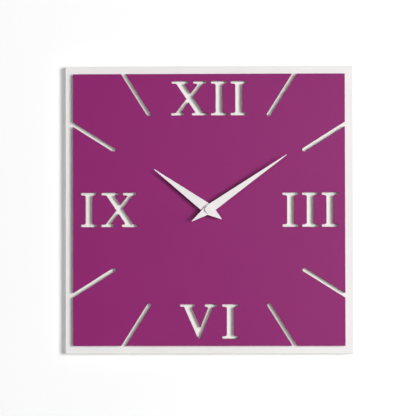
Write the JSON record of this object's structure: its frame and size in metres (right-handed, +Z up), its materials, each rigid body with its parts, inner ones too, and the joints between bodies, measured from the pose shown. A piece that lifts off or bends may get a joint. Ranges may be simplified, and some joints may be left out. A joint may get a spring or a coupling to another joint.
{
  "type": "wall clock",
  "caption": "Square analogue wall clock: purple panel with cut-out Roman numerals and hour slots on a white board, kite-shaped white hands, battery movement.",
  "frame": {"origin": "centre of the hanging keyhole's round entry, on the plane of the back board's rear face", "axes": "+X to the right for someone facing the dial, +Y into the wall, +Z up; the dial faces -Y and its centre is 112 mm below the origin"},
  "size_m": [0.3, 0.0415, 0.3],
  "materials": {
    "white_lacquer": "satin white lacquer on fibreboard",
    "purple_lacquer": "satin purple lacquer on fibreboard, thinner on the cut edges",
    "zinc_screw": "bright zinc plate",
    "zinc_plate": "zinc-plated pressed steel",
    "black_rubber": "matt",
    "case_plastic": "fine spark-eroded texture",
    "brass": "turned",
    "nickel_steel": "nickel plate",
    "ivory_plastic": "moulded",
    "wheel_plastic": "moulded acetal",
    "core_steel": "stamped",
    "copper_wire": "enamelled copper winding",
    "circuit_green": "solder mask",
    "black_epoxy": "cured blob",
    "contact_steel": "nickel-plated spring strip",
    "cell_sleeve": "printed-free shrink sleeve",
    "white_hand": "satin white paint",
    "knob_plastic": "moulded, notched rim",
    "rotor_ferrite": "sintered"
  },
  "bodies": {
    "clock_body": {"back_board": "white_lacquer", "front_panel": "purple_lacquer", "panel_screws": "zinc_screw", "hanger_plate": "zinc_plate", "hanger_screws": "zinc_screw", "wall_bumpers": "black_rubber", "case_front": "case_plastic", "case_back": "case_plastic", "centre_bush": "brass", "rubber_washer": "black_rubber", "steel_washer": "nickel_steel", "fixing_nut": "nickel_steel", "mid_plate": "ivory_plastic", "train_bridge": "ivory_plastic", "stator": "core_steel", "coil_core": "core_steel", "coil_bobbin": "ivory_plastic", "coil_winding": "copper_wire", "coil_screws": "zinc_screw", "circuit_board": "circuit_green", "clock_chip": "black_epoxy", "quartz_can": "nickel_steel", "contact_positive": "contact_steel", "contact_negative": "contact_steel", "contact_spring": "contact_steel"},
    "minute_set": {"minute_hand": "white_hand", "minute_cap": "white_hand", "minute_collet": "brass", "minute_arbor": "brass", "centre_wheel": "wheel_plastic", "clutch_spring": "brass"},
    "hour_set": {"hour_hand": "white_hand", "hour_collet": "brass", "hour_wheel": "wheel_plastic"},
    "motion_wheel": {"minute_wheel": "wheel_plastic"},
    "setter": {"setting_knob": "knob_plastic", "setting_stem": "wheel_plastic"},
    "third_set": {"third_wheel": "wheel_plastic", "third_arbor": "wheel_plastic"},
    "seconds_set": {"seconds_wheel": "wheel_plastic", "seconds_arbor": "nickel_steel"},
    "fifth_set": {"fifth_wheel": "wheel_plastic", "fifth_arbor": "wheel_plastic"},
    "rotor_set": {"rotor_magnet": "rotor_ferrite", "rotor_arbor": "wheel_plastic"},
    "battery": {"cell_can": "cell_sleeve", "cell_terminal": "contact_steel"}
  },
  "joints": [
    {"name": "minute_turn", "type": "hinge", "parent": "clock_body", "child": "minute_set", "pos_m": [0, 0, -0.112], "axis": [0, 1, 0], "continuous": true},
    {"name": "hour_turn", "type": "hinge", "parent": "clock_body", "child": "hour_set", "pos_m": [0, 0, -0.112], "axis": [0, 1, 0], "continuous": true},
    {"name": "motion_turn", "type": "hinge", "parent": "clock_body", "child": "motion_wheel", "pos_m": [0.00886, 0, -0.11044], "axis": [0, 1, 0], "continuous": true},
    {"name": "setter_turn", "type": "hinge", "parent": "clock_body", "child": "setter", "pos_m": [0.01732, 0, -0.11352], "axis": [0, 1, 0], "continuous": true},
    {"name": "third_turn", "type": "hinge", "parent": "clock_body", "child": "third_set", "pos_m": [-0.00846, 0, -0.10892], "axis": [0, 1, 0], "continuous": true},
    {"name": "seconds_turn", "type": "hinge", "parent": "clock_body", "child": "seconds_set", "pos_m": [0, 0, -0.112], "axis": [0, 1, 0], "continuous": true},
    {"name": "fifth_turn", "type": "hinge", "parent": "clock_body", "child": "fifth_set", "pos_m": [0.00375, 0, -0.10551], "axis": [0, 1, 0], "continuous": true},
    {"name": "rotor_turn", "type": "hinge", "parent": "clock_body", "child": "rotor_set", "pos_m": [0.00911, 0, -0.101], "axis": [0, 1, 0], "continuous": true},
    {"name": "battery_out", "type": "slide", "parent": "clock_body", "child": "battery", "axis": [0, 1, 0], "range_m": [0, 0.02]}
  ],
  "couplings": [
    {"joint": "hour_turn", "follows": "minute_turn", "ratio": 0.083333},
    {"joint": "motion_turn", "follows": "minute_turn", "ratio": -0.33333},
    {"joint": "setter_turn", "follows": "minute_turn", "ratio": 1},
    {"joint": "third_turn", "follows": "minute_turn", "ratio": -8},
    {"joint": "seconds_turn", "follows": "minute_turn", "ratio": 60},
    {"joint": "fifth_turn", "follows": "minute_turn", "ratio": -300},
    {"joint": "rotor_turn", "follows": "minute_turn", "ratio": 1800}
  ]
}
